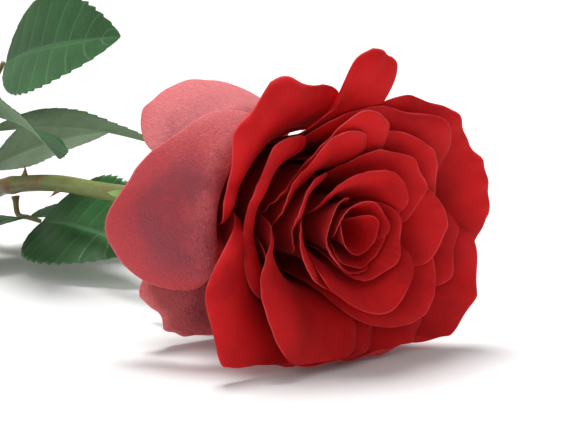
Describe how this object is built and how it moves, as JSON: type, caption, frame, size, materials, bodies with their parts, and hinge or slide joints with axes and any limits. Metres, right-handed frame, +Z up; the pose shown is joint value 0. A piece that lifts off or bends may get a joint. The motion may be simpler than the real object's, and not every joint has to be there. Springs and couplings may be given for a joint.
{
  "type": "cut rose",
  "caption": "Fully opened red rose cut with its leafy stem, lying on its side: a spiral cup of petals on a hip with sepals, a prickly green stem and toothed compound leaves.",
  "frame": {"origin": "bottom centre of the whole rose, on the surface it lies on", "axes": "+X along the bloom's axis, out of the bloom's face, with the cut end of the stem towards -X; +Z up"},
  "size_m": [0.2916, 0.1298, 0.0957],
  "materials": {
    "petal": "velvety deep red petal, paler and satin on its back and rims",
    "guard_petal": "velvety dusty pink-red petal with fine veins and a lighter rim",
    "sepal": "matt light green with a soft down",
    "stem": "smooth olive green bark with a reddish side and red-brown prickles",
    "leaf_stalk": "smooth green with a reddish upper side",
    "leaf": "waxy dark green above with lighter veins, pale grey-green below"
  },
  "bodies": {
    "root": {"petal_heart_1": "petal", "petal_heart_2": "petal", "petal_heart_3": "petal", "petal_heart_4": "petal", "petal_heart_5": "petal", "petal_inner_1": "petal", "petal_inner_2": "petal", "petal_inner_3": "petal", "petal_inner_4": "petal", "petal_inner_5": "petal", "petal_middle_1": "petal", "petal_middle_2": "petal", "petal_middle_3": "petal", "petal_middle_4": "petal", "petal_middle_5": "petal", "petal_middle_6": "petal", "petal_middle_7": "petal", "petal_middle_8": "petal", "petal_outer_1": "petal", "petal_outer_2": "petal", "petal_outer_3": "petal", "petal_outer_4": "petal", "petal_outer_5": "petal", "petal_outer_6": "petal", "petal_outer_7": "petal", "petal_curl": "petal", "petal_guard_1": "guard_petal", "petal_guard_2": "guard_petal", "petal_guard_3": "guard_petal", "petal_guard_4": "guard_petal", "sepal_1": "sepal", "sepal_2": "sepal", "sepal_3": "sepal", "sepal_4": "sepal", "sepal_5": "sepal", "hip": "sepal", "stem": "stem", "leafstalk_upper": "leaf_stalk", "leafstalk_lower": "leaf_stalk", "leafstalk_rear": "leaf_stalk", "leaflet_upper_1": "leaf", "leaflet_upper_2": "leaf", "leaflet_upper_3": "leaf", "leaflet_upper_4": "leaf", "leaflet_upper_5": "leaf", "leaflet_lower_1": "leaf", "leaflet_lower_2": "leaf", "leaflet_lower_3": "leaf", "leaflet_rear_1": "leaf", "leaflet_rear_2": "leaf", "leaflet_rear_3": "leaf", "leaflet_rear_4": "leaf"}
  },
  "joints": []
}
